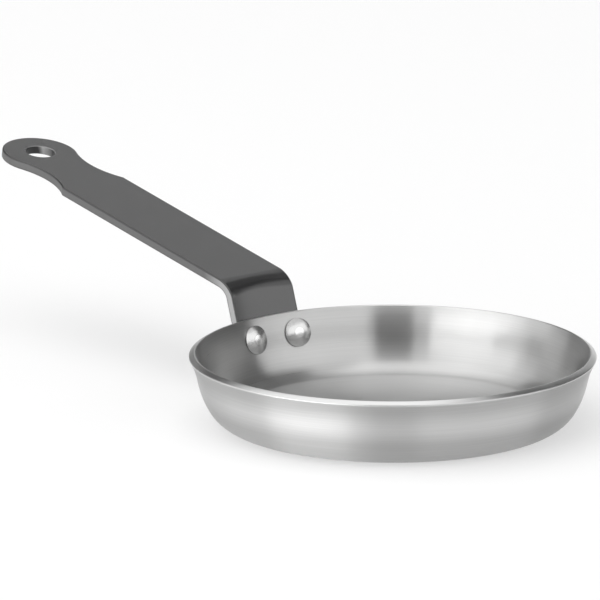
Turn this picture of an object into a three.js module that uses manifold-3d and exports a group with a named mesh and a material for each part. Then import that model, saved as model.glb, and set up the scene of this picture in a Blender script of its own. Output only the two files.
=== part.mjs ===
// A small pancake pan: a spun aluminium body and a coated steel strap handle held by two rivets.
// Millimetres, +Z up. The origin is the centre of the underside, and the handle runs along +X.
import * as THREE from 'three';
import { mergeVertices } from 'three/addons/utils/BufferGeometryUtils.js';
import Module from 'manifold-3d';

const wasm = await Module();
wasm.setup();

const { degToRad, lerp, smoothstep } = THREE.MathUtils;
const RIGHT_ANGLE = Math.PI / 2;

// Body: a profile of tangent arcs. A lean is the angle between the wall and the vertical.
const RIM_DIAMETER = 140;
const BODY_HEIGHT = 25;
const WALL_THICKNESS = 2.6;
const BASE_THICKNESS = 3;
const CORNER_RADIUS = 12.3;
const SHOULDER_LEAN = degToRad(31.4);
const WALL_LEAN = degToRad(13);
const WALL_STRAIGHT = 2.6;
const FLARE_RADIUS = 21.4;
const LIP_LEAN = degToRad(32.2);
const LIP_ROUNDING = 0.5;

// Handle: one steel blank, bent up from its foot. The foot is pressed to the round of the wall.
const STRAP_WIDTH = 27.2;
const STRAP_THICKNESS = 3.1;
const STRAP_EDGE_RADIUS = 0.5;
const STRAP_RISE = degToRad(10.2);
const FOOT_DROP = 14;
const FOOT_RISE = 14.2;
const FOOT_CORNER_RADIUS = 4;
const BEND_INSIDE_RADIUS = 5.2;
const HANDLE_REACH = 128.7;
const NECK_INSET = 3.6;
const NECK_RADIUS = 31;
const HANG_HOLE_DIAMETER = 10;
const HANG_HOLE_BEVEL = 0.65;

// Rivets: a low domed head inside the pan and a driven head on the strap.
const RIVET_HEIGHT = 18;
const RIVET_SPACING = 20;
const RIVET_SHANK_DIAMETER = 5;
const RIVET_HEAD_DIAMETER = 10.1;
const RIVET_HEAD_EDGE = 0.5;
const RIVET_HEAD_CROWN = 1.1;
const RIVET_HEAD_FLAT = 3.4;
const RIVET_TAIL_DIAMETER = 7;
const RIVET_TAIL_EDGE = 0.5;
const RIVET_TAIL_CROWN = 1.2;
const RIVET_TAIL_FLAT = 3;

// Room between two pieces that seat on each other.
const FIT_GAP = 0.3;

// How finely the round stretches are divided.
const AROUND_BODY = 72;
const AROUND_RIVET = 18;
const AROUND_HOLE = 24;
const WALL_ARC_STEPS = 4;
const LIP_ARC_STEPS = 2;
const EDGE_ARC_STEPS = 2;
const FOOT_STEPS = 3;
const FOOT_CORNER_STEPS = 4;
const BEND_STEPS = 9;
const GRIP_STEPS = 3;
const NECK_STEPS = 7;
const LOBE_STEPS = 12;
const DOME_STEPS = 3;
const STRAP_COLUMNS = 6;

// Solids: joins and cuts

function toSolid(geometry) {
  const bare = geometry.clone();
  bare.deleteAttribute('normal');
  bare.deleteAttribute('uv');
  const merged = mergeVertices(bare);
  const corners = merged.index.array;
  const triVerts = [];
  for (let i = 0; i < corners.length; i += 3) {
    const [a, b, c] = corners.slice(i, i + 3);
    if (a !== b && b !== c && c !== a) triVerts.push(a, b, c);
  }
  const vertProperties = new Float32Array(merged.attributes.position.array);
  return new wasm.Manifold(
    new wasm.Mesh({ numProp: 3, vertProperties, triVerts: new Uint32Array(triVerts) }),
  );
}

function toGeometry(solid) {
  const { vertProperties, triVerts } = solid.getMesh();
  const geometry = new THREE.BufferGeometry();
  geometry.setAttribute('position', new THREE.BufferAttribute(vertProperties, 3));
  geometry.setIndex(new THREE.BufferAttribute(triVerts, 1));
  geometry.computeVertexNormals();
  return geometry;
}

// Curves and directions in the upright (radius, height) plane

function arc(centre, radius, from, to, steps) {
  const points = [];
  for (let i = 0; i <= steps; i += 1) {
    const angle = lerp(from, to, i / steps);
    const spoke = new THREE.Vector2(Math.cos(angle), Math.sin(angle));
    points.push(centre.clone().addScaledVector(spoke, radius));
  }
  return points;
}

// Turns a profile of (radius, height) points about the Z axis.
function revolve(profile, around) {
  return new THREE.LatheGeometry(profile, around).rotateX(RIGHT_ANGLE);
}

// Square to a wall with a given lean, and up along it.
const outwardOf = (lean) => new THREE.Vector2(Math.cos(lean), -Math.sin(lean));
const upAlong = (lean) => new THREE.Vector2(Math.sin(lean), Math.cos(lean));
const move = (point, direction, distance) => point.clone().addScaledVector(direction, distance);

// Body profile: centres and edges, from the base up to the lip

// How far a rounded lip edge falls short of its sharp corner, outwards and upwards.
const lipTrim = LIP_ROUNDING * (Math.cos(LIP_LEAN) + Math.sin(LIP_LEAN) - 1);
const lipOuterHeight = BODY_HEIGHT + lipTrim - WALL_THICKNESS * Math.sin(LIP_LEAN);
// The belly's radius takes up the height that the other stretches leave.
const bellyHeight = lipOuterHeight
  - CORNER_RADIUS * (1 - Math.sin(SHOULDER_LEAN))
  - WALL_STRAIGHT * Math.cos(WALL_LEAN)
  - FLARE_RADIUS * (Math.sin(LIP_LEAN) - Math.sin(WALL_LEAN));
const bellyRadius = bellyHeight / (Math.sin(SHOULDER_LEAN) - Math.sin(WALL_LEAN));
const baseRadius = RIM_DIAMETER / 2 + lipTrim
  - CORNER_RADIUS * Math.cos(SHOULDER_LEAN)
  - bellyRadius * (Math.cos(WALL_LEAN) - Math.cos(SHOULDER_LEAN))
  - WALL_STRAIGHT * Math.sin(WALL_LEAN)
  - FLARE_RADIUS * (Math.cos(WALL_LEAN) - Math.cos(LIP_LEAN));

const cornerCentre = new THREE.Vector2(baseRadius, CORNER_RADIUS);
const bellyCentre = move(cornerCentre, outwardOf(SHOULDER_LEAN), CORNER_RADIUS - bellyRadius);
const wallFoot = move(bellyCentre, outwardOf(WALL_LEAN), bellyRadius);
const wallTop = move(wallFoot, upAlong(WALL_LEAN), WALL_STRAIGHT);
const flareCentre = move(wallTop, outwardOf(WALL_LEAN), FLARE_RADIUS);

// The lip is cut square to the wall, and both of its edges are rounded.
const lipMiddle = move(
  move(flareCentre, outwardOf(LIP_LEAN), -FLARE_RADIUS - WALL_THICKNESS / 2),
  upAlong(LIP_LEAN),
  -LIP_ROUNDING,
);
const lipHalf = WALL_THICKNESS / 2 - LIP_ROUNDING;
const lipOuterCentre = move(lipMiddle, outwardOf(LIP_LEAN), lipHalf);
const lipInnerCentre = move(lipMiddle, outwardOf(LIP_LEAN), -lipHalf);

// One face of the wall, at an inset from the outer face, from the shoulder up to the lip.
function wallFace(inset) {
  const belly = arc(
    bellyCentre, bellyRadius - inset, -SHOULDER_LEAN, -WALL_LEAN, WALL_ARC_STEPS,
  );
  const flare = arc(
    flareCentre, FLARE_RADIUS + inset, Math.PI - WALL_LEAN, Math.PI - LIP_LEAN, WALL_ARC_STEPS,
  );
  return [...belly, ...flare];
}

// Inside, the corner's radius follows from the thickness of the base.
const innerShoulder = move(bellyCentre, outwardOf(SHOULDER_LEAN), bellyRadius - WALL_THICKNESS);
const innerCornerRadius = (innerShoulder.y - BASE_THICKNESS) / (1 - Math.sin(SHOULDER_LEAN));
const innerCornerCentre = move(innerShoulder, outwardOf(SHOULDER_LEAN), -innerCornerRadius);

function bodyProfile() {
  const outerCorner = arc(
    cornerCentre, CORNER_RADIUS, -RIGHT_ANGLE, -SHOULDER_LEAN, WALL_ARC_STEPS,
  );
  const lipOuter = arc(
    lipOuterCentre, LIP_ROUNDING, -LIP_LEAN, RIGHT_ANGLE - LIP_LEAN, LIP_ARC_STEPS,
  );
  const lipInner = arc(
    lipInnerCentre, LIP_ROUNDING, RIGHT_ANGLE - LIP_LEAN, Math.PI - LIP_LEAN, LIP_ARC_STEPS,
  );
  const innerCorner = arc(
    innerCornerCentre, innerCornerRadius, -SHOULDER_LEAN, -RIGHT_ANGLE, WALL_ARC_STEPS,
  );
  return [
    new THREE.Vector2(0, 0),
    ...outerCorner,
    ...wallFace(0).slice(1, -1),
    ...lipOuter,
    ...lipInner,
    ...wallFace(WALL_THICKNESS).reverse().slice(1),
    ...innerCorner.slice(1),
    new THREE.Vector2(0, BASE_THICKNESS),
  ];
}

// Handle path: the strap's pan-side face, measured along from the foot's lower end

// The foot leans so that it rests on the lip's outer edge and on the belly of the wall.
const bellyToLip = lipOuterCentre.clone().sub(bellyCentre);
const footLean = Math.acos((bellyRadius - LIP_ROUNDING) / bellyToLip.length()) - bellyToLip.angle();
const footAtLip = move(lipOuterCentre, outwardOf(footLean), LIP_ROUNDING + FIT_GAP);
const footEnd = move(footAtLip, upAlong(footLean), -FOOT_DROP);

const gripLean = RIGHT_ANGLE - STRAP_RISE;
const bendAngle = gripLean - footLean;
const bendRadius = BEND_INSIDE_RADIUS + STRAP_THICKNESS;
const bendTangent = bendRadius * Math.tan(bendAngle / 2);
const bendStart = FOOT_DROP + FOOT_RISE - bendTangent;
const bendEnd = bendStart + bendRadius * bendAngle;
const bendCentre = move(
  move(footEnd, upAlong(footLean), bendStart), outwardOf(footLean), bendRadius,
);
const gripStart = move(bendCentre, outwardOf(gripLean), -bendRadius);
const lobeCentre = bendEnd + HANDLE_REACH - bendTangent;

// Point of the strap on the handle's middle plane, some way along and at a depth below the face.
function strapSection(along, depth) {
  if (along <= bendStart) {
    return move(move(footEnd, upAlong(footLean), along), outwardOf(footLean), depth);
  }
  if (along <= bendEnd) {
    const lean = footLean + (along - bendStart) / bendRadius;
    return move(bendCentre, outwardOf(lean), depth - bendRadius);
  }
  return move(move(gripStart, upAlong(gripLean), along - bendEnd), outwardOf(gripLean), depth);
}

// The same point moved across: round the pan on the foot, and straight across on the grip.
function strapPoint(along, across, depth) {
  const { x: reach, y: height } = strapSection(along, depth);
  const turn = across / strapSection(along, STRAP_THICKNESS / 2).x;
  const flatness = smoothstep(along, bendStart, bendEnd);
  return new THREE.Vector3(
    lerp(reach * Math.cos(turn), reach, flatness),
    lerp(reach * Math.sin(turn), across, flatness),
    height,
  );
}

// Half of the blank's outline as (along, half width), from the foot's end to the tip.
function halfOutline(inset) {
  const halfWidth = STRAP_WIDTH / 2 - inset;
  const foot = arc(
    new THREE.Vector2(FOOT_CORNER_RADIUS, STRAP_WIDTH / 2 - FOOT_CORNER_RADIUS),
    FOOT_CORNER_RADIUS - inset, Math.PI, RIGHT_ANGLE, FOOT_CORNER_STEPS,
  );

  // The lobe is as wide as the strap. The neck leaves the strap's edge and runs into the lobe.
  const lobeRadius = STRAP_WIDTH / 2;
  const neckOut = lobeRadius - NECK_INSET + NECK_RADIUS;
  const neckBack = Math.sqrt((NECK_RADIUS + lobeRadius) ** 2 - neckOut ** 2);
  const neckRadius = NECK_RADIUS + inset;
  const neckFrom = Math.asin((neckOut - halfWidth) / neckRadius) - Math.PI;
  const neckTo = -Math.atan2(neckOut, neckBack);
  const neckMiddle = new THREE.Vector2(lobeCentre - neckBack, neckOut);
  const neck = arc(neckMiddle, neckRadius, neckFrom, neckTo, NECK_STEPS);
  const lobe = arc(
    new THREE.Vector2(lobeCentre, 0), lobeRadius - inset, Math.PI + neckTo, 0, LOBE_STEPS,
  );

  const edge = [];
  const addEdge = (from, to, steps) => {
    for (let i = 1; i <= steps; i += 1) {
      edge.push(new THREE.Vector2(lerp(from, to, i / steps), halfWidth));
    }
  };
  addEdge(FOOT_CORNER_RADIUS, bendStart, FOOT_STEPS);
  addEdge(bendStart, bendEnd, BEND_STEPS);
  addEdge(bendEnd, neck[0].x, GRIP_STEPS);
  return [...foot, ...edge, ...neck.slice(1), ...lobe.slice(1)];
}

// Rungs of points across the blank, one for each point of its half outline.
function strapRungs(inset, depth) {
  return halfOutline(inset).map(({ x: along, y: half }) => {
    const rung = [];
    for (let i = 0; i <= STRAP_COLUMNS; i += 1) {
      rung.push(strapPoint(along, lerp(-half, half, i / STRAP_COLUMNS), depth));
    }
    return rung;
  });
}

// The rungs' ends in order round the blank's edge, starting across the foot.
function strapLoop(rungs) {
  const right = rungs.slice(1).map((rung) => rung.at(-1));
  const left = rungs.slice(1, -1).map((rung) => rung[0]);
  return [...rungs[0], ...right, ...left.reverse()];
}

// The bent blank: two faces of rungs, and rounded edges between them.
function strapGeometry() {
  const edge = arc(
    new THREE.Vector2(STRAP_EDGE_RADIUS, STRAP_EDGE_RADIUS),
    STRAP_EDGE_RADIUS, -RIGHT_ANGLE, -Math.PI, EDGE_ARC_STEPS,
  );
  const layers = [
    ...edge.map(({ x: inset, y: depth }) => strapRungs(inset, depth)),
    ...edge.reverse().map(({ x: inset, y: depth }) => strapRungs(inset, STRAP_THICKNESS - depth)),
  ];

  const corners = [];
  const addQuad = (a, b, c, d) => corners.push(a, b, c, a, c, d);
  const top = layers[0];
  const under = layers.at(-1);
  for (let i = 1; i < top.length; i += 1) {
    for (let j = 1; j <= STRAP_COLUMNS; j += 1) {
      addQuad(top[i - 1][j - 1], top[i][j - 1], top[i][j], top[i - 1][j]);
      addQuad(under[i - 1][j], under[i][j], under[i][j - 1], under[i - 1][j - 1]);
    }
  }
  const loops = layers.map(strapLoop);
  for (let i = 1; i < loops.length; i += 1) {
    const [upper, lower] = [loops[i - 1], loops[i]];
    upper.forEach((point, j) => {
      const next = (j + 1) % upper.length;
      addQuad(point, upper[next], lower[next], lower[j]);
    });
  }
  return new THREE.BufferGeometry().setFromPoints(corners);
}

// Hanging hole: a round hole through the lobe, bevelled at both faces.
function hangHoleCut() {
  const radius = HANG_HOLE_DIAMETER / 2;
  const face = STRAP_THICKNESS / 2;
  const outside = face + HANG_HOLE_BEVEL;
  const mouth = radius + 2 * HANG_HOLE_BEVEL;
  const profile = [
    new THREE.Vector2(0, -outside),
    new THREE.Vector2(mouth, -outside),
    new THREE.Vector2(radius, HANG_HOLE_BEVEL - face),
    new THREE.Vector2(radius, face - HANG_HOLE_BEVEL),
    new THREE.Vector2(mouth, outside),
    new THREE.Vector2(0, outside),
  ];
  const { x, y } = strapSection(lobeCentre, face);
  return revolve(profile, AROUND_HOLE).rotateY(-STRAP_RISE).translate(x, 0, y);
}

// Rivets: both are made on the handle's middle plane, and turned round the pan to their places

// The rivet's axis is square to the inner wall, where its head sits.
function innerWallAt(height) {
  const face = wallFace(WALL_THICKNESS);
  const upper = face.findIndex((point) => point.y > height);
  const [below, above] = [face[upper - 1], face[upper]];
  const seat = below.clone().lerp(above, (height - below.y) / (above.y - below.y));
  const run = above.clone().sub(below);
  return { seat, lean: Math.atan2(run.x, run.y) };
}

const { seat: rivetSeat, lean: rivetLean } = innerWallAt(RIVET_HEIGHT);
const strapBack = move(footEnd, outwardOf(footLean), STRAP_THICKNESS);
const rivetGrip = strapBack.clone().sub(rivetSeat).dot(outwardOf(footLean))
  / Math.cos(footLean - rivetLean);
const rivetOnStrap = move(rivetSeat, outwardOf(rivetLean), rivetGrip - STRAP_THICKNESS / 2);
const rivetTurn = RIVET_SPACING / 2 / rivetOnStrap.x;

// Sets a solid of revolution on the rivet's axis, with its +Z end towards the inside of the pan.
function onRivetAxis(profile) {
  return revolve(profile, AROUND_RIVET)
    .rotateY(rivetLean - RIGHT_ANGLE)
    .translate(rivetSeat.x, 0, rivetSeat.y);
}

function rivetBore() {
  const radius = RIVET_SHANK_DIAMETER / 2 + FIT_GAP;
  return onRivetAxis([
    new THREE.Vector2(0, -rivetGrip - STRAP_THICKNESS),
    new THREE.Vector2(radius, -rivetGrip - STRAP_THICKNESS),
    new THREE.Vector2(radius, WALL_THICKNESS),
    new THREE.Vector2(0, WALL_THICKNESS),
  ]);
}

// Half profile of a head, from its rim to the flat on its crown.
function headProfile(diameter, edge, crown, flat) {
  const radius = diameter / 2;
  const domeRadius = (radius ** 2 + crown ** 2) / (2 * crown);
  const from = Math.acos(radius / domeRadius);
  const to = Math.acos(flat / 2 / domeRadius);
  return arc(new THREE.Vector2(0, edge + crown - domeRadius), domeRadius, from, to, DOME_STEPS);
}

// The wall and the foot together, with the fit's room on both sides: heads end where it begins.
function seatedStack() {
  const inside = wallFace(WALL_THICKNESS + FIT_GAP);
  inside.push(move(inside.at(-1), upAlong(LIP_LEAN), RIVET_HEAD_DIAMETER));
  const outside = move(strapBack, outwardOf(footLean), FIT_GAP);
  const rise = (inside.at(-1).y - outside.y) / Math.cos(footLean);
  return revolve([
    inside[0],
    outside,
    move(outside, upAlong(footLean), rise),
    ...inside.toReversed(),
  ], AROUND_BODY);
}

function rivetGeometry() {
  const sunk = WALL_THICKNESS / 2;
  const head = headProfile(
    RIVET_HEAD_DIAMETER, RIVET_HEAD_EDGE, RIVET_HEAD_CROWN, RIVET_HEAD_FLAT,
  ).map(({ x, y }) => new THREE.Vector2(x, FIT_GAP + y));
  const tail = headProfile(
    RIVET_TAIL_DIAMETER, RIVET_TAIL_EDGE, RIVET_TAIL_CROWN, RIVET_TAIL_FLAT,
  ).map(({ x, y }) => new THREE.Vector2(x, -rivetGrip - FIT_GAP - y));
  const heads = onRivetAxis([
    new THREE.Vector2(0, tail.at(-1).y),
    ...tail.reverse(),
    new THREE.Vector2(RIVET_TAIL_DIAMETER / 2, sunk - rivetGrip),
    new THREE.Vector2(RIVET_HEAD_DIAMETER / 2, -sunk),
    ...head,
    new THREE.Vector2(0, head.at(-1).y),
  ]);
  const shankTop = FIT_GAP + RIVET_HEAD_EDGE;
  const shankEnd = -rivetGrip - FIT_GAP - RIVET_TAIL_EDGE;
  const shank = onRivetAxis([
    new THREE.Vector2(0, shankEnd),
    new THREE.Vector2(RIVET_SHANK_DIAMETER / 2, shankEnd),
    new THREE.Vector2(RIVET_SHANK_DIAMETER / 2, shankTop),
    new THREE.Vector2(0, shankTop),
  ]);
  return toGeometry(toSolid(heads).subtract(toSolid(seatedStack())).add(toSolid(shank)));
}

// Finishes

const SPUN_ALUMINIUM = { color: 0xc9c9c8, roughness: 0.34, metalness: 1 };
const RIVET_ALUMINIUM = { color: 0xd2d2d1, roughness: 0.28, metalness: 1 };
const COATED_STEEL = { color: 0x4b4b4c, roughness: 0.46, metalness: 0.2 };

function piece(name, geometry, finish) {
  const mesh = new THREE.Mesh(geometry, new THREE.MeshStandardMaterial(finish));
  mesh.name = name;
  return mesh;
}

// Assembly

const rivetSides = { rivet_left: rivetTurn, rivet_right: -rivetTurn };

let bodySolid = toSolid(revolve(bodyProfile(), AROUND_BODY));
let strapSolid = toSolid(strapGeometry()).subtract(toSolid(hangHoleCut()));
for (const turn of Object.values(rivetSides)) {
  const bore = toSolid(rivetBore().rotateZ(turn));
  bodySolid = bodySolid.subtract(bore);
  strapSolid = strapSolid.subtract(bore);
}

const handle = new THREE.Group();
handle.add(piece('handle_strap', toGeometry(strapSolid), COATED_STEEL));
for (const [name, turn] of Object.entries(rivetSides)) {
  const rivet = piece(name, rivetGeometry(), RIVET_ALUMINIUM);
  rivet.rotation.z = turn;
  handle.add(rivet);
}

const pan = new THREE.Group();
pan.add(piece('pan_body', toGeometry(bodySolid), SPUN_ALUMINIUM));
pan.add(handle);

export default pan;
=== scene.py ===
"""Looks of a pancake pan: a spun aluminium body and a coated steel strap handle on two rivets.

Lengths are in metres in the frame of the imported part: +Z up, the handle along +X, and the
underside of the pan on z = 0. A lean is the angle between a wall and the vertical.
"""

from __future__ import annotations

import logging
import math
from dataclasses import dataclass, field
from enum import Enum
from itertools import pairwise
from typing import Iterable, Sequence

import bpy
from bpy.types import Material, MeshPolygon, Node, NodeSocket, Object
from mathutils import Matrix, Vector


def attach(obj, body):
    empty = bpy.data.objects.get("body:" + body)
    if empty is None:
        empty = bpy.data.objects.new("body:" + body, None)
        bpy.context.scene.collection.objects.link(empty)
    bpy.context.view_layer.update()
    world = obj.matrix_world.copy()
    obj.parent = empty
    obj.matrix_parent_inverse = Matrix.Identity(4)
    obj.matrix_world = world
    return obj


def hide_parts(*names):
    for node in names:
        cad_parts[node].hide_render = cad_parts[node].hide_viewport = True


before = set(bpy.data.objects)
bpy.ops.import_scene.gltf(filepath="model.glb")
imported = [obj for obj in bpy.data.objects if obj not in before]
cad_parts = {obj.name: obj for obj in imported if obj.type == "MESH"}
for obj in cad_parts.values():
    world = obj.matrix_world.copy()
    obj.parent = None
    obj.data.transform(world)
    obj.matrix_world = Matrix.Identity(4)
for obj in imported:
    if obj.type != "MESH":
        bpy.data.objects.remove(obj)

LOG = logging.getLogger("pancake_pan")
BODY = "root"
RIGHT_ANGLE = math.pi / 2
FULL_TURN = 2 * math.pi
SEED_SIZE = 0.001
MERGE = 1e-7
LEAST_SCALE = 1e-6
LEAST_BULGE = 1e-9
WHITE = (1.0, 1.0, 1.0, 1.0)
ALUMINIUM_CAST = 0.003
PAPER_ROUGHNESS = 0.9
LAMP_DISTANCE = 3.0
FLAG_DISTANCE = 3.2
CARD_DISTANCE = 3.3

Colour = tuple[float, float, float]


class Slot(Enum):
    """Material slots of the record."""

    SPUN_ALUMINIUM = "spun_aluminium"
    COATED_STEEL = "coated_steel"
    RIVET_ALUMINIUM = "rivet_aluminium"


class Zone(Enum):
    """Stretches of the pan's surface with a finish of their own, as material indices."""

    OUTSIDE = 0
    INSIDE = 1
    LEVEL = 2
    LIP = 3


class StrapZone(Enum):
    """The strap's faces, cut sides and rounded edges, and its hole's worn edge and wall.

    The values are material indices.
    """

    FACE = 0
    SIDE = 1
    EDGE = 2
    WORN = 3
    BORE = 4


class RivetZone(Enum):
    """A rivet's satin skin and the struck flat on its head, as material indices."""

    SKIN = 0
    FLAT = 1


class Side(Enum):
    """The two sides of the handle, as signs of Y."""

    LEFT = 1
    RIGHT = -1


# Curves in the upright (radius, height) plane


def arc(centre: Vector, radius: float, start: float, end: float, steps: int) -> list[Vector]:
    """Points of an arc from one angle to another, in radians, with both ends."""
    angles = [start + (end - start) * i / steps for i in range(steps + 1)]
    return [centre + radius * Vector((math.cos(a), math.sin(a))) for a in angles]


def outward(lean: float) -> Vector:
    """Direction square to a leaning wall, away from the pan's axis."""
    return Vector((math.cos(lean), -math.sin(lean)))


def upward(lean: float) -> Vector:
    """Direction up along a leaning wall."""
    return Vector((math.sin(lean), math.cos(lean)))


def upright(point: Vector) -> Vector:
    """A (radius, height) point as a point on the handle's middle plane."""
    return Vector((point.x, 0.0, point.y))


# Hand tools


class Bench:
    """Blender's own modelling operators, in the few moves that the pieces need."""

    @staticmethod
    def hold(obj: Object) -> None:
        """Selects one object alone and makes it the active one.

        Args:
            obj: The object to hold.
        """
        bpy.ops.object.select_all(action="DESELECT")
        obj.select_set(True)
        bpy.context.view_layer.objects.active = obj

    @staticmethod
    def start(name: str, place: Vector) -> Object:
        """Adds a plane, draws it together to one point, and stays in edit mode.

        Args:
            name: Name of the new object.
            place: Where the point goes.

        Returns:
            The new object, with one selected vertex.
        """
        bpy.ops.object.select_all(action="DESELECT")
        bpy.ops.mesh.primitive_plane_add(size=SEED_SIZE, location=(0, 0, 0))
        obj = bpy.context.active_object
        obj.name = name
        obj.data.name = name
        bpy.ops.object.mode_set(mode="EDIT")
        bpy.ops.mesh.select_all(action="SELECT")
        bpy.ops.mesh.merge(type="CENTER")
        bpy.ops.mesh.select_all(action="SELECT")
        bpy.ops.transform.translate(value=place)
        return obj

    @staticmethod
    def draw(points: Sequence[Vector]) -> None:
        """Extrudes the selected vertex from point to point, starting at the first."""
        for here, there in pairwise(points):
            bpy.ops.mesh.extrude_region_move(TRANSFORM_OT_translate={"value": there - here})

    @staticmethod
    def pick(obj: Object, chosen: Iterable[int]) -> None:
        """Selects some vertices alone, and stays in edit mode.

        Args:
            obj: The object in edit mode.
            chosen: Indices of the vertices.
        """
        bpy.ops.mesh.select_all(action="DESELECT")
        bpy.ops.object.mode_set(mode="OBJECT")
        for index in chosen:
            obj.data.vertices[index].select = True
        bpy.ops.object.mode_set(mode="EDIT")

    @staticmethod
    def close() -> None:
        """Merges doubled vertices, points all faces outwards and leaves edit mode."""
        bpy.ops.mesh.select_all(action="SELECT")
        bpy.ops.mesh.remove_doubles(threshold=MERGE)
        bpy.ops.mesh.normals_make_consistent(inside=False)
        bpy.ops.object.mode_set(mode="OBJECT")

    @staticmethod
    def turn(name: str, profile: Sequence[Vector], steps: int) -> Object:
        """Draws a profile and spins it once round the Z axis.

        Args:
            name: Name of the new object.
            profile: Points (radius, height), from axis to axis or closed on itself.
            steps: Divisions round the axis.

        Returns:
            The turned solid.
        """
        points = [upright(point) for point in profile]
        obj = Bench.start(name, points[0])
        Bench.draw(points)
        bpy.ops.mesh.select_all(action="SELECT")
        bpy.ops.mesh.spin(steps=steps, angle=FULL_TURN, center=(0, 0, 0), axis=(0, 0, 1))
        Bench.close()
        return obj

    @staticmethod
    def place(obj: Object, matrix: Matrix) -> None:
        """Moves an object and applies the move to its mesh.

        Args:
            obj: The object to move.
            matrix: Where it goes.
        """
        Bench.hold(obj)
        obj.matrix_world = matrix
        bpy.ops.object.transform_apply(location=True, rotation=True, scale=True)

    @staticmethod
    def modify(obj: Object, kind: str, **settings: object) -> None:
        """Adds a modifier and applies it.

        Args:
            obj: The object to modify.
            kind: Type of the modifier.
            settings: Properties of the modifier.
        """
        Bench.hold(obj)
        modifier = obj.modifiers.new(kind.lower(), kind)
        for setting, value in settings.items():
            setattr(modifier, setting, value)
        bpy.ops.object.modifier_apply(modifier=modifier.name)

    @staticmethod
    def combine(obj: Object, tool: Object, operation: str) -> None:
        """Joins or cuts a piece with a tool body, closes its seams and removes the tool.

        Args:
            obj: The piece.
            tool: The tool body.
            operation: The boolean modifier's operation.
        """
        Bench.modify(obj, "BOOLEAN", object=tool, operation=operation, solver="EXACT")
        bpy.data.objects.remove(tool)
        bpy.ops.object.mode_set(mode="EDIT")
        Bench.close()

    @staticmethod
    def smooth(obj: Object, angle: float) -> None:
        """Shades a piece smooth wherever its faces meet at less than an angle, in radians."""
        Bench.hold(obj)
        bpy.ops.object.shade_smooth_by_angle(angle=angle)


# Finishes


def grey(level: float) -> Colour:
    """A neutral grey."""
    return (level, level, level)


def aluminium(level: float) -> Colour:
    """The faintly warm grey of bare aluminium."""
    return (level, level, level - ALUMINIUM_CAST)


class Paint:
    """Lays out the nodes of one material round a Principled shader."""

    def __init__(self, name: str) -> None:
        """Starts a material that holds only its shader and its output.

        Args:
            name: Name of the material.
        """
        self.material = bpy.data.materials.new(name)
        self.material.use_nodes = True
        self.tree = self.material.node_tree
        self.shader = self.tree.nodes["Principled BSDF"]

    def node(self, kind: str, *inputs: object, **settings: object) -> Node:
        """Adds a node.

        Args:
            kind: Node type without its "ShaderNode" beginning.
            inputs: Values or sockets for the node's inputs in order, None to leave one alone.
            settings: Properties of the node.

        Returns:
            The new node.
        """
        made = self.tree.nodes.new("ShaderNode" + kind)
        for setting, value in settings.items():
            setattr(made, setting, value)
        for socket, value in zip(made.inputs, inputs):
            self.feed(socket, value)
        return made

    def feed(self, socket: NodeSocket, value: object) -> None:
        """Links a socket to another one, or sets its value.

        Args:
            socket: The input to feed.
            value: A value, an output to link, or None to leave the input alone.
        """
        if isinstance(value, NodeSocket):
            self.tree.links.new(value, socket)
        elif value is not None:
            socket.default_value = value

    def shade(self, **values: object) -> None:
        """Feeds the shader's inputs, named with underscores for spaces."""
        for name, value in values.items():
            self.feed(self.shader.inputs[name.replace("_", " ")], value)

    def maths(self, operation: str, *inputs: object) -> NodeSocket:
        """The result of a Math node."""
        return self.node("Math", *inputs, operation=operation).outputs[0]

    def vector(self, operation: str, *inputs: object) -> Node:
        """A Vector Math node."""
        return self.node("VectorMath", *inputs, operation=operation)

    def scaled(self, vector: object, factor: object) -> NodeSocket:
        """A vector or a colour times a factor."""
        return self.vector("SCALE", vector, None, None, factor).outputs[0]

    def noise(self, place: object, scale: float, detail: float) -> NodeSocket:
        """Grey noise, about 0.5 on average, with its scale in spots to a unit of length."""
        return self.node("TexNoise", place, None, scale, detail).outputs[0]

    def bump(self, height: object, depth: float, normal: object = None) -> NodeSocket:
        """The direction of the surface with a fine relief on it.

        Args:
            height: Socket with the relief, from 0 to 1.
            depth: Real height of the relief.
            normal: Socket with a coarser relief below it, if there is one.

        Returns:
            The direction for a Normal input.
        """
        made = self.node("Bump")
        self.feed(made.inputs["Height"], height)
        self.feed(made.inputs["Distance"], depth)
        self.feed(made.inputs["Normal"], normal)
        return made.outputs[0]

    def spread(self, value: object, low: float, high: float) -> NodeSocket:
        """Maps a value from 0..1 to low..high."""
        return self.node("MapRange", value, 0.0, 1.0, low, high).outputs[0]

    def swing(self, value: object, middle: float, reach: float) -> NodeSocket:
        """Maps a value from 0..1 to a reach on both sides of a middle."""
        return self.spread(value, middle - reach, middle + reach)


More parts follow.
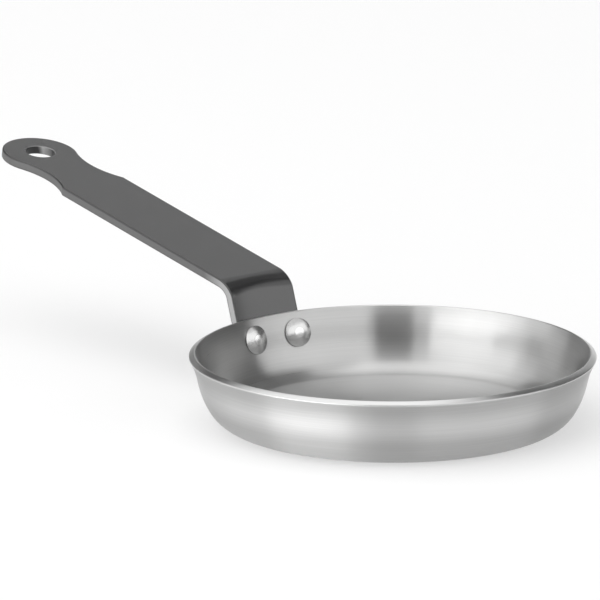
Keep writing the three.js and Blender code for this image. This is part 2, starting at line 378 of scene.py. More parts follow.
@dataclass(frozen=True)
class SpunAluminium:
    """Satin aluminium with fine turning lines round the pan.

    Across the lines, a place is its radius plus its height. A painted highlight makes the colour
    brightest at one such place, and over a reach to both sides painted shade dulls it to a share of
    that brightness.
    """

    name: str
    colour: Colour
    roughness: float
    anisotropy: float
    brush_turn: float = 0.25
    roughness_swing: float = 0.05
    shade_swing: float = 0.1
    line_pitch: float = 0.0004
    line_depth: float = 0.000002
    line_wander: float = 1.5
    band_pitch: float = 0.005
    band_depth: float = 0.00002
    band_wander: float = 0.35
    line_detail: float = 2.0
    # Painted highlight band, and the painted shade on both sides of it
    painted_highlight_at: float = 0.0
    painted_highlight_reach: float = 0.1
    painted_shade_share: float = 1.0

    def lines(
        self, paint: Paint, bearing: NodeSocket, steps: NodeSocket, wander: float
    ) -> NodeSocket:
        """Noise drawn out into lines round the axis.

        Args:
            paint: The material in the making.
            bearing: Level direction from the axis, of length 1.
            steps: Place across the lines, in line widths.
            wander: How much the lines change on their way round.

        Returns:
            The grey value of the lines.
        """
        rise = paint.node("CombineXYZ", 0.0, 0.0, steps).outputs[0]
        place = paint.vector("ADD", paint.scaled(bearing, wander), rise).outputs[0]
        return paint.noise(place, 1.0, self.line_detail)

    def make(self) -> Material:
        """Builds the material.

        Returns:
            The material, which reads Object coordinates.
        """
        paint = Paint(self.name)
        place = paint.node("TexCoord").outputs["Object"]
        flat = paint.vector("MULTIPLY", place, (1, 1, 0)).outputs[0]
        bearing = paint.vector("NORMALIZE", flat).outputs[0]
        radius = paint.vector("LENGTH", flat).outputs["Value"]
        height = paint.node("SeparateXYZ", place).outputs["Z"]
        across = paint.maths("ADD", radius, height)
        fine_steps = paint.maths("DIVIDE", across, self.line_pitch)
        fine = self.lines(paint, bearing, fine_steps, self.line_wander)
        band_steps = paint.maths("DIVIDE", across, self.band_pitch)
        bands = self.lines(paint, bearing, band_steps, self.band_wander)
        # Painted highlight: the colour is brightest at one place across the lines, and painted shade
        # darkens it away from there
        away = paint.maths("ABSOLUTE", paint.maths("SUBTRACT", across, self.painted_highlight_at))
        painted_falloff = paint.node("MapRange", away, 0.0, self.painted_highlight_reach, interpolation_type="SMOOTHSTEP")
        painted_light = paint.spread(painted_falloff.outputs[0], 1.0, self.painted_shade_share)
        shade = paint.maths("MULTIPLY", paint.swing(fine, 1.0, self.shade_swing), painted_light)
        broad = paint.bump(bands, self.band_depth)
        paint.shade(
            Base_Color=paint.scaled(self.colour, shade),
            Metallic=1.0,
            Roughness=paint.swing(fine, self.roughness, self.roughness_swing),
            Anisotropic=self.anisotropy,
            Anisotropic_Rotation=self.brush_turn,
            Normal=paint.bump(fine, self.line_depth, broad),
            Tangent=paint.node("Tangent", direction_type="RADIAL", axis="Z").outputs[0],
        )
        return paint.material


@dataclass(frozen=True)
class Lightening:
    """A stretch along X where a coating is coloured lighter: it sets in, peaks and fades out.

    A gain of 1 leaves the coating as it is.
    """

    gain: float = 1.0
    onset: float = 1.0
    peak: float = 0.0
    end: float = -1.0


@dataclass(frozen=True)
class CoatedSteel:
    """Satin dark grey coating on strap steel."""

    name: str
    colour: Colour
    roughness: float
    gloss_index: float = 1.75
    lightening: Lightening = Lightening()
    roughness_swing: float = 0.05
    grain: float = 0.0007
    grain_depth: float = 0.000012
    grain_swing: float = 0.12
    grain_detail: float = 3.0
    cloud: float = 0.02
    cloud_swing: float = 0.05
    cloud_detail: float = 2.0

    def make(self) -> Material:
        """Builds the material.

        Returns:
            The material, which reads Object coordinates.
        """
        paint = Paint(self.name)
        place = paint.node("TexCoord").outputs["Object"]
        grain = paint.noise(place, 1 / self.grain, self.grain_detail)
        cloud = paint.noise(place, 1 / self.cloud, self.cloud_detail)
        along = paint.node("SeparateXYZ", place).outputs["X"]
        # A stretch along X coloured lighter; on the hole's wall it is a painted reflection
        setting_in = paint.node("MapRange", along, self.lightening.onset, self.lightening.peak).outputs[0]
        fading_out = paint.node("MapRange", along, self.lightening.end, self.lightening.peak).outputs[0]
        lightened = paint.maths("MULTIPLY", setting_in, fading_out)
        shade = paint.maths(
            "MULTIPLY",
            paint.swing(grain, 1.0, self.grain_swing),
            paint.swing(cloud, 1.0, self.cloud_swing),
        )
        shade = paint.maths("MULTIPLY", shade, paint.spread(lightened, 1.0, self.lightening.gain))
        paint.shade(
            Base_Color=paint.scaled(self.colour, shade),
            Roughness=paint.swing(cloud, self.roughness, self.roughness_swing),
            IOR=self.gloss_index,
            Normal=paint.bump(grain, self.grain_depth),
        )
        return paint.material


@dataclass(frozen=True)
class RivetAluminium:
    """Pressed aluminium with faint marks of the press."""

    name: str
    colour: Colour
    roughness: float
    roughness_swing: float = 0.06
    shade_low: float = 0.9
    shade_high: float = 1.08
    mark: float = 0.0012
    mark_depth: float = 0.00003
    mark_detail: float = 3.0

    def make(self) -> Material:
        """Builds the material.

        Returns:
            The material, which reads Object coordinates.
        """
        paint = Paint(self.name)
        place = paint.node("TexCoord").outputs["Object"]
        marks = paint.noise(place, 1 / self.mark, self.mark_detail)
        shade = paint.spread(marks, self.shade_low, self.shade_high)
        paint.shade(
            Base_Color=paint.scaled(self.colour, shade),
            Metallic=1.0,
            Roughness=paint.swing(marks, self.roughness, self.roughness_swing),
            Normal=paint.bump(marks, self.mark_depth),
        )
        return paint.material


# One aluminium, coloured lighter outside than on the lip, floor and inside: painted light outside and
# painted shade inside
PAN_FINISHES: dict[Zone, SpunAluminium] = {
    Zone.OUTSIDE: SpunAluminium(
        "spun_outside",
        aluminium(0.64),
        roughness=0.42,
        anisotropy=1.0,
        painted_highlight_at=0.0815,
        painted_highlight_reach=0.0095,
        painted_shade_share=0.76,
    ),
    Zone.INSIDE: SpunAluminium("spun_inside", aluminium(0.5), roughness=0.3, anisotropy=1.0),
    Zone.LEVEL: SpunAluminium(
        "turned_level",
        aluminium(0.55),
        roughness=0.46,
        anisotropy=0.7,
        painted_highlight_at=0.056,
        painted_highlight_reach=0.042,
        painted_shade_share=0.64,
    ),
    Zone.LIP: SpunAluminium("polished_lip", aluminium(0.54), roughness=0.3, anisotropy=0.6),
}

# Colours the sides lighter towards the foot
FOOT_LIGHTENING = Lightening(gain=6.5, onset=0.088, peak=0.078)
# Painted reflection: a stretch of the hole's wall coloured light grey
BORE_PAINTED_REFLECTION = Lightening(gain=20.0, onset=0.2063, peak=0.2052, end=0.2012)
STRAP_FINISHES: dict[StrapZone, CoatedSteel] = {
    StrapZone.FACE: CoatedSteel("coated_steel", (0.022, 0.022, 0.0225), roughness=0.22),
    # The cut sides are coloured lighter than the face: painted light
    StrapZone.SIDE: CoatedSteel(
        "sides_painted_lighter", grey(0.035), roughness=0.5, gloss_index=2.0, lightening=FOOT_LIGHTENING
    ),
    # The rounded edges are coloured darker than the face: a painted dark line along them
    StrapZone.EDGE: CoatedSteel("edge_painted_darker", grey(0.017), roughness=0.3, gloss_index=1.62),
    StrapZone.WORN: CoatedSteel("worn_edge", grey(0.16), roughness=0.25),
    StrapZone.BORE: CoatedSteel(
        "bore_wall_painted_reflection", grey(0.016), roughness=0.35, gloss_index=1.5, lightening=BORE_PAINTED_REFLECTION
    ),
}

RIVET_FINISHES: dict[RivetZone, RivetAluminium] = {
    RivetZone.SKIN: RivetAluminium("rivet_skin", aluminium(0.53), roughness=0.24),
    # The struck flat is smoother, and its brighter colour is a painted highlight
    RivetZone.FLAT: RivetAluminium(
        "rivet_flat", aluminium(0.72), roughness=0.18, mark_depth=0.000002
    ),
}


# Pieces


def add_slots(piece: Object, count: int) -> None:
    """Gives a piece empty material slots up to a count."""
    while len(piece.data.materials) < count:
        piece.data.materials.append(None)


def hand_over(piece: Object, node: str, finishes: Sequence[Material]) -> None:
    """Dresses a finished piece and lets it stand for its CAD node.

    Args:
        piece: The finished piece.
        node: CAD node that the piece stands for.
        finishes: Materials of the piece, in the order of its faces' material indices.
    """
    add_slots(piece, len(finishes))
    for index, finish in enumerate(finishes):
        piece.data.materials[index] = finish
    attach(piece, BODY)
    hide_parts(node)
    LOG.info("%s: %d faces", piece.name, len(piece.data.polygons))


@dataclass
class PanBody:
    """The spun shell: flat base, round corner, bellied wall and flared lip."""

    rim_radius: float = 0.070
    height: float = 0.025
    wall: float = 0.0026
    base: float = 0.003
    corner_radius: float = 0.0123
    shoulder_lean: float = math.radians(31.4)
    wall_lean: float = math.radians(13)
    wall_straight: float = 0.0026
    flare_radius: float = 0.0214
    lip_lean: float = math.radians(32.2)
    lip_rounding: float = 0.0005
    around: int = 192
    arc_steps: int = 12
    lip_steps: int = 5
    smooth_angle: float = math.radians(40)
    level_cosine: float = 0.999
    level_slack: float = 0.0003

    def __post_init__(self) -> None:
        """Works out the centres of the profile's tangent arcs."""
        sin, cos = math.sin, math.cos
        trim = self.lip_rounding * (cos(self.lip_lean) + sin(self.lip_lean) - 1)
        lip_height = self.height + trim - self.wall * sin(self.lip_lean)
        belly_height = (
            lip_height
            - self.corner_radius * (1 - sin(self.shoulder_lean))
            - self.wall_straight * cos(self.wall_lean)
            - self.flare_radius * (sin(self.lip_lean) - sin(self.wall_lean))
        )
        self.belly_radius = belly_height / (sin(self.shoulder_lean) - sin(self.wall_lean))
        base_radius = (
            self.rim_radius
            + trim
            - self.corner_radius * cos(self.shoulder_lean)
            - self.belly_radius * (cos(self.wall_lean) - cos(self.shoulder_lean))
            - self.wall_straight * sin(self.wall_lean)
            - self.flare_radius * (cos(self.wall_lean) - cos(self.lip_lean))
        )
        self.corner_centre = Vector((base_radius, self.corner_radius))
        inwards = self.belly_radius - self.corner_radius
        self.belly_centre = self.corner_centre - outward(self.shoulder_lean) * inwards
        wall_foot = self.belly_centre + outward(self.wall_lean) * self.belly_radius
        wall_top = wall_foot + upward(self.wall_lean) * self.wall_straight
        self.flare_centre = wall_top + outward(self.wall_lean) * self.flare_radius
        lip_middle = (
            self.flare_centre
            - outward(self.lip_lean) * (self.flare_radius + self.wall / 2)
            - upward(self.lip_lean) * self.lip_rounding
        )
        half = outward(self.lip_lean) * (self.wall / 2 - self.lip_rounding)
        self.lip_outer = lip_middle + half
        self.lip_inner = lip_middle - half

    def face(self, inset: float) -> list[Vector]:
        """One face of the wall from the shoulder up to the lip.

        Args:
            inset: Distance of the face inwards from the outer face.

        Returns:
            Points (radius, height) going up.
        """
        shoulder, wall, lip = self.shoulder_lean, self.wall_lean, self.lip_lean
        belly_radius, flare_radius = self.belly_radius - inset, self.flare_radius + inset
        return [
            *arc(self.belly_centre, belly_radius, -shoulder, -wall, self.arc_steps),
            *arc(self.flare_centre, flare_radius, math.pi - wall, math.pi - lip, self.arc_steps),
        ]

    def profile(self) -> list[Vector]:
        """The whole section.

        Returns:
            Points (radius, height) from the axis below to the axis above.
        """
        shoulder, lip = self.shoulder_lean, self.lip_lean
        steps, lip_steps = self.arc_steps, self.lip_steps
        inner_shoulder = self.belly_centre + outward(shoulder) * (self.belly_radius - self.wall)
        inner_radius = (inner_shoulder.y - self.base) / (1 - math.sin(shoulder))
        inner_centre = inner_shoulder - outward(shoulder) * inner_radius
        return [
            Vector((0.0, 0.0)),
            *arc(self.corner_centre, self.corner_radius, -RIGHT_ANGLE, -shoulder, steps),
            *self.face(0.0)[1:-1],
            *arc(self.lip_outer, self.lip_rounding, -lip, RIGHT_ANGLE - lip, lip_steps),
            *arc(self.lip_inner, self.lip_rounding, RIGHT_ANGLE - lip, math.pi - lip, lip_steps),
            *self.face(self.wall)[-2::-1],
            *arc(inner_centre, inner_radius, -shoulder, -RIGHT_ANGLE, steps)[1:],
            Vector((0.0, self.base)),
        ]

    def build(self) -> Object:
        """Spins the shell.

        Returns:
            The shell, shaded smooth.
        """
        piece = Bench.turn("pan_shell", self.profile(), self.around)
        Bench.smooth(piece, self.smooth_angle)
        return piece

    def zone(self, face: MeshPolygon) -> Zone:
        """Finds the zone of a face.

        Args:
            face: A face of the shell.

        Returns:
            The zone that it lies in.
        """
        low = face.center.z < self.base + self.level_slack
        if low and face.normal.z > self.level_cosine:
            return Zone.LEVEL
        section = Vector((face.center.xy.length, face.center.z))
        if (section - self.lip_outer).dot(upward(self.lip_lean)) > 0:
            return Zone.LIP
        outwards = face.normal.x * face.center.x + face.normal.y * face.center.y > 0
        return Zone.OUTSIDE if outwards else Zone.INSIDE

    def dress(self, piece: Object, finishes: dict[Zone, SpunAluminium]) -> None:
        """Gives each zone of the shell its spun finish.

        Args:
            piece: The finished shell.
            finishes: One finish for each zone.
        """
        materials = [finishes[zone].make() for zone in Zone]
        hand_over(piece, "pan_body", materials)
        for face in piece.data.polygons:
            face.material_index = self.zone(face).value


@dataclass
class StrapHandle:
    """The steel strap: a foot curved to the wall, a bend, a flat grip, a neck and a holed lobe."""

    pan: PanBody
    width: float = 0.0272
    thickness: float = 0.0031
    edge_radius: float = 0.0005
    rise: float = math.radians(10.2)
    foot_drop: float = 0.014
    foot_rise: float = 0.0142
    foot_corner: float = 0.004
    bend_inside: float = 0.0052
    reach: float = 0.1287
    neck_inset: float = 0.0036
    neck_radius: float = 0.031
    hole_radius: float = 0.0054
    hole_bevel: float = 0.00025
    fit_gap: float = 0.0003
    columns: int = 12
    corner_steps: int = 8
    foot_steps: int = 6
    bend_steps: int = 36
    grip_steps: int = 12
    neck_steps: int = 24
    lobe_steps: int = 40
    edge_steps: int = 6
    hole_steps: int = 64
    bore_cosine: float = 0.1
    sharp_angle: float = math.radians(50)
    smooth_angle: float = math.radians(30)
    normal_weight: int = 50

    def __post_init__(self) -> None:
        """Works out the path of the pan-side face from the foot to the lobe."""
        pan = self.pan
        span = pan.lip_outer - pan.belly_centre
        touch = math.acos((pan.belly_radius - pan.lip_rounding) / span.length)
        self.foot_lean = touch - math.atan2(span.y, span.x)
        at_lip = pan.lip_outer + outward(self.foot_lean) * (pan.lip_rounding + self.fit_gap)
        self.foot_end = at_lip - upward(self.foot_lean) * self.foot_drop
        self.grip_lean = RIGHT_ANGLE - self.rise
        angle = self.grip_lean - self.foot_lean
        self.bend_radius = self.bend_inside + self.thickness
        tangent = self.bend_radius * math.tan(angle / 2)
        self.bend_start = self.foot_drop + self.foot_rise - tangent
        self.bend_end = self.bend_start + self.bend_radius * angle
        self.bend_centre = (
            self.foot_end
            + upward(self.foot_lean) * self.bend_start
            + outward(self.foot_lean) * self.bend_radius
        )
        self.lobe_along = self.bend_end + self.reach - tangent

    def section(self, along: float, depth: float) -> Vector:
        """A point of the strap's middle section.

        Args:
            along: Distance along the strap from the foot's end.
            depth: Distance below the pan-side face.

        Returns:
            The point (radius, height).
        """
        if along <= self.bend_start:
            lean = self.foot_lean
            return self.foot_end + upward(lean) * along + outward(lean) * depth
        if along <= self.bend_end:
            lean = self.foot_lean + (along - self.bend_start) / self.bend_radius
            return self.bend_centre + outward(lean) * (depth - self.bend_radius)
        lean = self.grip_lean
        start = self.bend_centre - outward(lean) * self.bend_radius
        return start + upward(lean) * (along - self.bend_end) + outward(lean) * depth

    def outline(self) -> list[tuple[float, float]]:
        """Half of the blank's outline.

        Returns:
            Pairs (along, half width) from the foot's end to the tip.
        """
        half = self.width / 2
        corner_centre = Vector((self.foot_corner, half - self.foot_corner))
        foot = arc(corner_centre, self.foot_corner, math.pi, RIGHT_ANGLE, self.corner_steps)
        neck_out = half - self.neck_inset + self.neck_radius
        neck_back = math.sqrt((self.neck_radius + half) ** 2 - neck_out**2)
        neck_start = math.asin((neck_out - half) / self.neck_radius) - math.pi
        neck_end = -math.atan2(neck_out, neck_back)
        neck_centre = Vector((self.lobe_along - neck_back, neck_out))
        neck = arc(neck_centre, self.neck_radius, neck_start, neck_end, self.neck_steps)
        lobe_centre = Vector((self.lobe_along, 0.0))
        lobe = arc(lobe_centre, half, math.pi + neck_end, 0.0, self.lobe_steps)

        def edge(start: float, end: float, steps: int) -> list[Vector]:
            """Points along a straight edge, the first left out."""
            shares = [i / steps for i in range(1, steps + 1)]
            return [Vector((start + (end - start) * share, half)) for share in shares]

        points = [
            *foot,
            *edge(self.foot_corner, self.bend_start, self.foot_steps),
            *edge(self.bend_start, self.bend_end, self.bend_steps),
            *edge(self.bend_end, neck[0].x, self.grip_steps),
            *neck[1:],
            *lobe[1:],
        ]
        return [(point.x, point.y) for point in points]

    def roundness(self, along: float) -> float:
        """How far the strap is curved round the pan.

        Args:
            along: Distance along the strap from the foot's end.

        Returns:
            1 on the foot, 0 on the grip and a smooth step between them.
        """
        share = (along - self.bend_start) / (self.bend_end - self.bend_start)
        share = min(1.0, max(0.0, share))
        return 1 - share * share * (3 - 2 * share)

    def sheet(self) -> Object:
        """Extrudes the pan-side face of the foot and the bend row by row, and fills the flat rest.

        Returns:
            An open sheet that follows the bent path.
        """
        rows = self.outline()
        bent = [row for row in rows if row[0] < self.bend_end + MERGE]
        along, half = bent[0]
        here = self.section(along, 0.0)
        turn = half / here.x
        start = Matrix.Rotation(turn, 3, "Z") @ upright(here)
        sheet = Bench.start("strap_handle", start)
        bpy.ops.mesh.spin(
            steps=self.columns, angle=2 * turn, center=(0, 0, 0), axis=(0, 0, 1)
        )
        bulge, spread = here.x * (1 - math.cos(turn)), here.x * math.sin(turn)
        bpy.ops.mesh.select_all(action="SELECT")
        for along, half in bent[1:]:
            there = self.section(along, 0.0)
            round_share = self.roundness(along)
            turn = half / there.x
            new_bulge = there.x * (1 - math.cos(turn)) * round_share
            new_spread = there.x * math.sin(turn) * round_share + half * (1 - round_share)
            bpy.ops.mesh.extrude_region_move(
                TRANSFORM_OT_translate={"value": upright(there - here)}
            )
            bpy.ops.transform.resize(
                value=(max(new_bulge / bulge, LEAST_SCALE), new_spread / spread, 1.0),
                center_override=upright(there),
            )
            here, bulge, spread = there, max(new_bulge, LEAST_BULGE), new_spread
        self.fill(sheet, rows[len(bent) - 1 :])
        bpy.ops.mesh.select_all(action="SELECT")
        bpy.ops.mesh.normals_make_consistent(inside=False)
        bpy.ops.object.mode_set(mode="OBJECT")
        return sheet

    def fill(self, sheet: Object, rows: Sequence[tuple[float, float]]) -> None:
        """Draws the outline of the flat grip, neck and lobe from the selected row, and fills it.

        Args:
            sheet: The sheet so far, in edit mode with its last row selected.
            rows: Pairs (along, half width) from that row to the tip.
        """
        bpy.ops.object.mode_set(mode="OBJECT")
        vertices = sheet.data.vertices
        row = [vertex.index for vertex in vertices if vertex.select]
        row.sort(key=lambda index: vertices[index].co.y)
        first_new = len(vertices)
        bpy.ops.object.mode_set(mode="EDIT")
        outline = [*rows, *((along, -half) for along, half in rows[-2::-1])]
        points = [upright(self.section(along, 0.0)) + Vector((0, y, 0)) for along, y in outline]
        between = points[1:-1]
        drawn = range(first_new, first_new + len(between))
        Bench.pick(sheet, row[-1:])
        Bench.draw([points[0], *between])
        Bench.pick(sheet, [row[0], drawn[-1]])
        bpy.ops.mesh.edge_face_add()
        Bench.pick(sheet, [*row, *drawn])
        bpy.ops.mesh.edge_face_add()

    def round_edges(self, piece: Object) -> None:
        """Rounds the long edges of the strap, from the foot's corners to the tip.

        Args:
            piece: The thickened strap.
        """
        foot_top = self.section(self.foot_corner, 0.0).y + self.edge_radius
        bpy.ops.object.mode_set(mode="EDIT")
        bpy.ops.mesh.select_mode(type="EDGE")
        bpy.ops.mesh.select_all(action="DESELECT")
        bpy.ops.mesh.edges_select_sharp(sharpness=self.sharp_angle)
        bpy.ops.object.mode_set(mode="OBJECT")
        vertices = piece.data.vertices
        for edge in piece.data.edges:
            low = min(vertices[index].co.z for index in edge.vertices)
            edge.select = edge.select and low > foot_top
        bpy.ops.object.mode_set(mode="EDIT")
        bpy.ops.mesh.bevel(
            offset=self.edge_radius,
            segments=self.edge_steps,
            affect="EDGES",
            material=StrapZone.EDGE.value,
        )
        bpy.ops.mesh.select_mode(type="VERT")
        bpy.ops.object.mode_set(mode="OBJECT")

    def hole_tool(self) -> Object:
        """Makes the body that cuts the hanging hole and bevels it at both faces.

        Returns:
            The tool at its place in the lobe.
        """
        face = self.thickness / 2
        outside = face + self.hole_bevel
        mouth = self.hole_radius + 2 * self.hole_bevel
        upper = [(self.hole_radius, face - self.hole_bevel), (mouth, outside), (0.0, outside)]
        lower = [(radius, -height) for radius, height in reversed(upper)]
        profile = [Vector(point) for point in lower + upper]
        tool = Bench.turn("hole_tool", profile, self.hole_steps)
        add_slots(tool, len(StrapZone))
        for side in tool.data.polygons:
            bore = abs(side.normal.z) < self.bore_cosine
            side.material_index = (StrapZone.BORE if bore else StrapZone.WORN).value
        centre = upright(self.section(self.lobe_along, face))
        Bench.place(tool, Matrix.Translation(centre) @ Matrix.Rotation(-self.rise, 4, "Y"))
        return tool

    def build(self) -> Object:
        """Thickens the sheet, rounds its edges and cuts the hanging hole.

        Returns:
            The finished strap.
        """
        piece = self.sheet()
        add_slots(piece, len(StrapZone))
        Bench.modify(
            piece,
            "SOLIDIFY",
            thickness=self.thickness,
            offset=-1.0,
            use_even_offset=True,
            material_offset_rim=StrapZone.SIDE.value,
        )
        self.round_edges(piece)
        Bench.combine(piece, self.hole_tool(), "DIFFERENCE")
        Bench.smooth(piece, self.smooth_angle)
        Bench.modify(piece, "WEIGHTED_NORMAL", keep_sharp=True, weight=self.normal_weight)
        return piece

    def dress(self, piece: Object, finishes: dict[StrapZone, CoatedSteel]) -> None:
        """Gives each zone of the strap its coating."""
        materials = [finishes[zone].make() for zone in StrapZone]
        hand_over(piece, "handle_strap", materials)


@dataclass
class RivetPair:
    """Two rivets, each with a domed head inside the pan and a driven head on the strap."""

    pan: PanBody
    strap: StrapHandle
    height: float = 0.018
    spacing: float = 0.020
    shank_radius: float = 0.0025
    head_radius: float = 0.00505
    head_edge: float = 0.0005
    head_crown: float = 0.0011
    head_flat: float = 0.0017
    tail_radius: float = 0.0035
    tail_edge: float = 0.0005
    tail_crown: float = 0.0012
    tail_flat: float = 0.0015
    seat_gap: float = 0.0001
    around: int = 64
    dome_steps: int = 10
    smooth_angle: float = math.radians(30)
    flat_cosine: float = 0.9995

    def __post_init__(self) -> None:
        """Finds the seat on the inner wall and how far the axis runs to the strap's back."""
        face = self.pan.face(self.pan.wall)
        below, above = next(
            (low, high) for low, high in pairwise(face) if low.y <= self.height < high.y
        )
        run = above - below
        self.seat = below + run * ((self.height - below.y) / run.y)
        self.lean = math.atan2(run.x, run.y)
        strap = self.strap
        self.strap_back = strap.foot_end + outward(strap.foot_lean) * strap.thickness
        across = (self.strap_back - self.seat).dot(outward(strap.foot_lean))
        self.grip = across / math.cos(strap.foot_lean - self.lean)
        on_strap = self.seat + outward(self.lean) * (self.grip - strap.thickness / 2)
        self.turn = self.spacing / 2 / on_strap.x

    def dome(self, radius: float, edge: float, crown: float, flat: float) -> list[Vector]:
        """Half section of a head.

        Args:
            radius: Radius of the head.
            edge: Height of its rim.
            crown: Height of the whole dome above the rim.
            flat: Radius of the flat on its crown.

        Returns:
            Points (radius, height) from the rim to the flat.
        """
        dome_radius = (radius**2 + crown**2) / (2 * crown)
        return arc(
            Vector((0.0, edge + crown - dome_radius)),
            dome_radius,
            math.acos(radius / dome_radius),
            math.acos(flat / dome_radius),
            self.dome_steps,
        )

    def seat_tool(self) -> Object:
        """Spins the wall and the foot together round the pan, so that the heads end on them.

        Returns:
            The tool body.
        """
        inside = self.pan.face(self.pan.wall + self.seat_gap)
        inside.append(inside[-1] + upward(self.pan.lip_lean) * 2 * self.head_radius)
        lean = self.strap.foot_lean
        outside = self.strap_back + outward(lean) * self.seat_gap
        rise = (inside[-1].y - outside.y) / math.cos(lean)
        loop = [inside[0], outside, outside + upward(lean) * rise, *inside[::-1]]
        return Bench.turn("seat_tool", loop, self.pan.around)

    def model(self) -> Object:
        """Turns the two heads, fits them to the wall and the strap, and joins the shank.

        Returns:
            One rivet on the handle's middle plane.
        """
        sunk = self.pan.wall / 2
        head = self.dome(self.head_radius, self.head_edge, self.head_crown, self.head_flat)
        tail = self.dome(self.tail_radius, self.tail_edge, self.tail_crown, self.tail_flat)
        head = [Vector((p.x, self.seat_gap + p.y)) for p in head]
        tail = [Vector((p.x, -self.grip - self.seat_gap - p.y)) for p in tail[::-1]]
        piece = Bench.turn(
            "rivet",
            [
                Vector((0.0, tail[0].y)),
                *tail,
                Vector((self.tail_radius, sunk - self.grip)),
                Vector((self.head_radius, -sunk)),
                *head,
                Vector((0.0, head[-1].y)),
            ],
            self.around,
        )
        tilt = Matrix.Rotation(self.lean - RIGHT_ANGLE, 4, "Y")
        seat = Matrix.Translation(upright(self.seat)) @ tilt
        Bench.place(piece, seat)
        Bench.combine(piece, self.seat_tool(), "DIFFERENCE")
        low, high = -self.grip - self.tail_edge, self.head_edge
        corners = ((0.0, low), (self.shank_radius, low), (self.shank_radius, high), (0.0, high))
        shank = Bench.turn("shank", [Vector(corner) for corner in corners], self.around)
        Bench.place(shank, seat)
        Bench.combine(piece, shank, "UNION")
        Bench.smooth(piece, self.smooth_angle)
        return piece

    def build(self) -> dict[Side, Object]:
        """Models one rivet, copies it with a mesh of its own and turns each to its side.

        Returns:
            The finished rivet of each side.
        """
        left = self.model()
        Bench.hold(left)
        bpy.ops.object.duplicate(linked=False)
        pieces = {Side.LEFT: left, Side.RIGHT: bpy.context.active_object}
        for side, piece in pieces.items():
            piece.name = piece.data.name = f"rivet_{side.name.lower()}_head"
            Bench.place(piece, Matrix.Rotation(side.value * self.turn, 4, "Z"))
        return pieces

    def dress(self, pieces: dict[Side, Object], finishes: dict[RivetZone, RivetAluminium]) -> None:
        """Gives the rivets their satin skin, and the flat on each head a smoother finish.

        The flat's brighter colour is a painted highlight.

        Args:
            pieces: The finished rivet of each side.
            finishes: One finish for each zone.
        """
        materials = [finishes[zone].make() for zone in RivetZone]
        for side, piece in pieces.items():
            hand_over(piece, f"rivet_{side.name.lower()}", materials)
            axis = Matrix.Rotation(side.value * self.turn, 3, "Z") @ upright(-outward(self.lean))
            for face in piece.data.polygons:
                level = face.normal.dot(axis) > self.flat_cosine
                face.material_index = (RivetZone.FLAT if level else RivetZone.SKIN).value


# Studio


@dataclass(frozen=True)
class Panel:
    """An upright rectangle that faces the pan from some way off.

    Bearings are seen from above, from the direction to the camera: positive to the camera's right.
    Both bearings and elevations are in degrees, as seen from the pan.
    """

    name: str
    bearings: tuple[float, float]
    elevations: tuple[float, float]
    level: float
    distance: float = LAMP_DISTANCE

    @property
    def width(self) -> float:
        """Width that spans the bearings."""
        return 2 * self.distance * math.tan(math.radians(self.bearings[1] - self.bearings[0]) / 2)

    @property
    def bottom(self) -> float:
        """Height of the lower edge."""
        return self.distance * math.tan(math.radians(self.elevations[0]))

    @property
    def height(self) -> float:
        """Height that spans the elevations."""
        return self.distance * math.tan(math.radians(self.elevations[1])) - self.bottom

    def place(self, ahead: float) -> Matrix:
        """Where the panel stands.

        Args:
            ahead: Angle of the direction to the camera about Z, in radians.

        Returns:
            A frame at the panel's middle whose -Z looks level at the pan's axis.
        """
        bearing = ahead + math.radians(sum(self.bearings) / 2)
        middle = Vector((self.distance, 0.0, self.bottom + self.height / 2))
        return (
            Matrix.Rotation(bearing, 4, "Z")
            @ Matrix.Translation(middle)
            @ Matrix.Rotation(RIGHT_ANGLE, 4, "Z")
            @ Matrix.Rotation(RIGHT_ANGLE, 4, "X")
        )


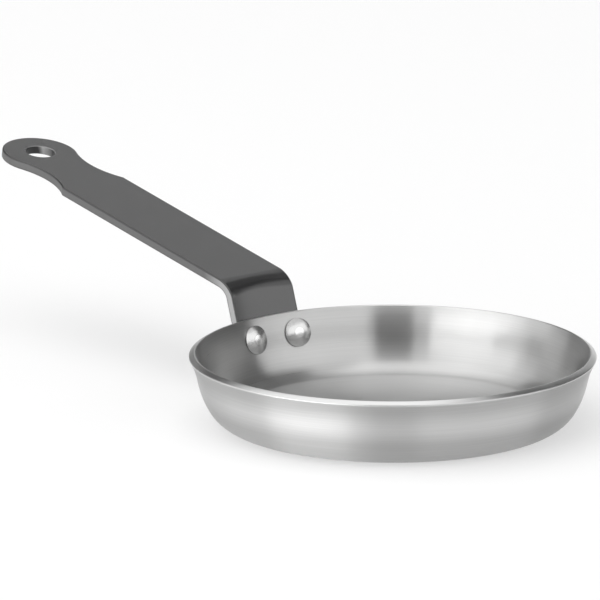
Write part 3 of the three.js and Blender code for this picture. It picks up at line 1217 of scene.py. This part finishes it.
@dataclass
class Studio:
    """Camera, pale floor, white surround, soft lamps and dark flags."""

    camera_place: Vector = field(default_factory=lambda: Vector((-2.3276, 1.8854, 0.7763)))
    camera_aim: Vector = field(default_factory=lambda: Vector((0.0256, 0.02027, 0.0415)))
    lens: float = 540.0
    sensor: float = 36.0
    view_depth: float = 50.0
    floor_size: float = 16.0
    floor_drop: float = 0.0001
    floor_colour: float = 0.9
    floor_lift: float = 0.5
    surround: float = 1.0
    top_height: float = 3.0
    top_size: float = 3.4
    top_level: float = 0.75
    top_shift: float = 0.9
    softboxes: Sequence[Panel] = (
        Panel("left_strip", (-76, -28), (0.3, 5), 10.5),
        Panel("front_strip", (-28, 8), (0.3, 5), 3.4),
        Panel("left_box_low", (-66, -24), (5, 18), 2.6),
        Panel("left_box_high", (-90, -25), (18, 36), 1.0),
        Panel("left_side_box", (-112, -66), (0.5, 30), 0.6),
        Panel("right_box", (15, 94), (8.5, 36), 0.75),
    )
    flags: Sequence[Panel] = (
        Panel("front_flag", (-14, 11), (0, 47), 0.02, FLAG_DISTANCE),
        Panel("right_low_flag", (11, 97), (0, 8), 0.02, FLAG_DISTANCE),
        Panel("right_back_flag", (97, 150), (0, 42), 0.15, FLAG_DISTANCE),
        Panel("right_high_flag", (93, 120), (41, 62), 0.02, FLAG_DISTANCE),
        Panel("right_far_flag", (121, 154), (42, 61), 0.13, FLAG_DISTANCE),
        Panel("left_back_flag", (-172, -130), (0, 24), 0.3, FLAG_DISTANCE),
        Panel("left_high_flag", (-172, -128), (24, 42), 0.05, FLAG_DISTANCE),
        Panel("back_card", (150, 188), (8, 50), 0.57, CARD_DISTANCE),
    )

    def __post_init__(self) -> None:
        """Finds the direction to the camera."""
        back = self.camera_place - self.camera_aim
        self.ahead = math.atan2(back.y, back.x)

    def add_camera(self) -> None:
        """Adds the camera at the photograph's place and makes it the scene's own."""
        data = bpy.data.cameras.new("camera")
        data.lens = self.lens
        data.sensor_width = self.sensor
        data.clip_end = self.view_depth
        camera = bpy.data.objects.new("camera", data)
        camera.location = self.camera_place
        view = self.camera_aim - self.camera_place
        camera.rotation_euler = view.to_track_quat("-Z", "Y").to_euler()
        bpy.context.scene.collection.objects.link(camera)
        bpy.context.scene.camera = camera

    def add_floor(self) -> None:
        """Lays a pale floor just below the underside.

        Rays from the camera and from shiny or clear surfaces see it lifted towards white.
        """
        bpy.ops.object.select_all(action="DESELECT")
        bpy.ops.mesh.primitive_plane_add(size=self.floor_size, location=(0, 0, -self.floor_drop))
        floor = bpy.context.active_object
        floor.name = "floor"
        paint = Paint("floor_paper")
        path = paint.node("LightPath").outputs
        seen = path["Is Camera Ray"]
        for kind in ("Is Glossy Ray", "Is Transmission Ray"):
            seen = paint.maths("MAXIMUM", seen, path[kind])
        seen_colour = self.floor_colour * (1 - self.floor_lift)
        paint.shade(
            Base_Color=paint.spread(seen, self.floor_colour, seen_colour),
            Roughness=PAPER_ROUGHNESS,
            Specular_IOR_Level=0.0,
            Emission_Color=WHITE,
            Emission_Strength=paint.maths("MULTIPLY", seen, self.floor_lift),
        )
        floor.data.materials.append(paint.material)

    def add_lamp(self, name: str, place: Matrix, size: tuple[float, float], level: float) -> None:
        """Adds a soft lamp.

        Args:
            name: Name of the lamp.
            place: Frame of the lamp, which shines along its -Z.
            size: Width and height of the lamp.
            level: Brightness of its face, where the surround's is 1.
        """
        data = bpy.data.lights.new(name, "AREA")
        data.shape = "RECTANGLE"
        data.size, data.size_y = size
        data.energy = level * math.pi * size[0] * size[1]
        lamp = bpy.data.objects.new(name, data)
        lamp.matrix_world = place
        lamp.visible_camera = False
        bpy.context.scene.collection.objects.link(lamp)

    def add_flag(self, flag: Panel) -> None:
        """Stands up a matt card that only reflections see.

        Args:
            flag: Place, size and grey level of the card.
        """
        bpy.ops.object.select_all(action="DESELECT")
        bpy.ops.mesh.primitive_plane_add(size=1.0)
        card = bpy.context.active_object
        card.name = flag.name
        size = Matrix.Diagonal((flag.width, flag.height, 1, 1))
        card.matrix_world = flag.place(self.ahead) @ size
        paint = Paint(flag.name)
        paint.shade(
            Base_Color=(*grey(flag.level), 1.0),
            Roughness=PAPER_ROUGHNESS,
            Specular_IOR_Level=0.0,
        )
        card.data.materials.append(paint.material)
        card.visible_camera = False

    def add_surround(self) -> None:
        """Sets a plain white surround."""
        world = bpy.data.worlds.new("studio")
        world.use_nodes = True
        bpy.context.scene.world = world
        backdrop = world.node_tree.nodes["Background"]
        backdrop.inputs["Color"].default_value = WHITE
        backdrop.inputs["Strength"].default_value = self.surround

    def build(self) -> None:
        """Sets up the camera, the floor, the surround, the lamps and the flags."""
        self.add_camera()
        self.add_floor()
        self.add_surround()
        for box in self.softboxes:
            self.add_lamp(box.name, box.place(self.ahead), (box.width, box.height), box.level)
        shift = Matrix.Translation((0, -self.top_shift, self.top_height))
        above = Matrix.Rotation(self.ahead, 4, "Z") @ shift
        self.add_lamp("top_box", above, (self.top_size, self.top_size), self.top_level)
        for flag in self.flags:
            self.add_flag(flag)
        bpy.context.scene.view_settings.view_transform = "Standard"


def main() -> None:
    """Builds the pan piece by piece, logging each piece's face count, and sets up the studio."""
    logging.basicConfig(level=logging.INFO, format="%(message)s")
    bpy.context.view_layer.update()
    pan = PanBody()
    pan.dress(pan.build(), PAN_FINISHES)
    strap = StrapHandle(pan)
    strap.dress(strap.build(), STRAP_FINISHES)
    rivets = RivetPair(pan, strap)
    rivets.dress(rivets.build(), RIVET_FINISHES)
    Studio().build()


if __name__ == "__main__":
    main()
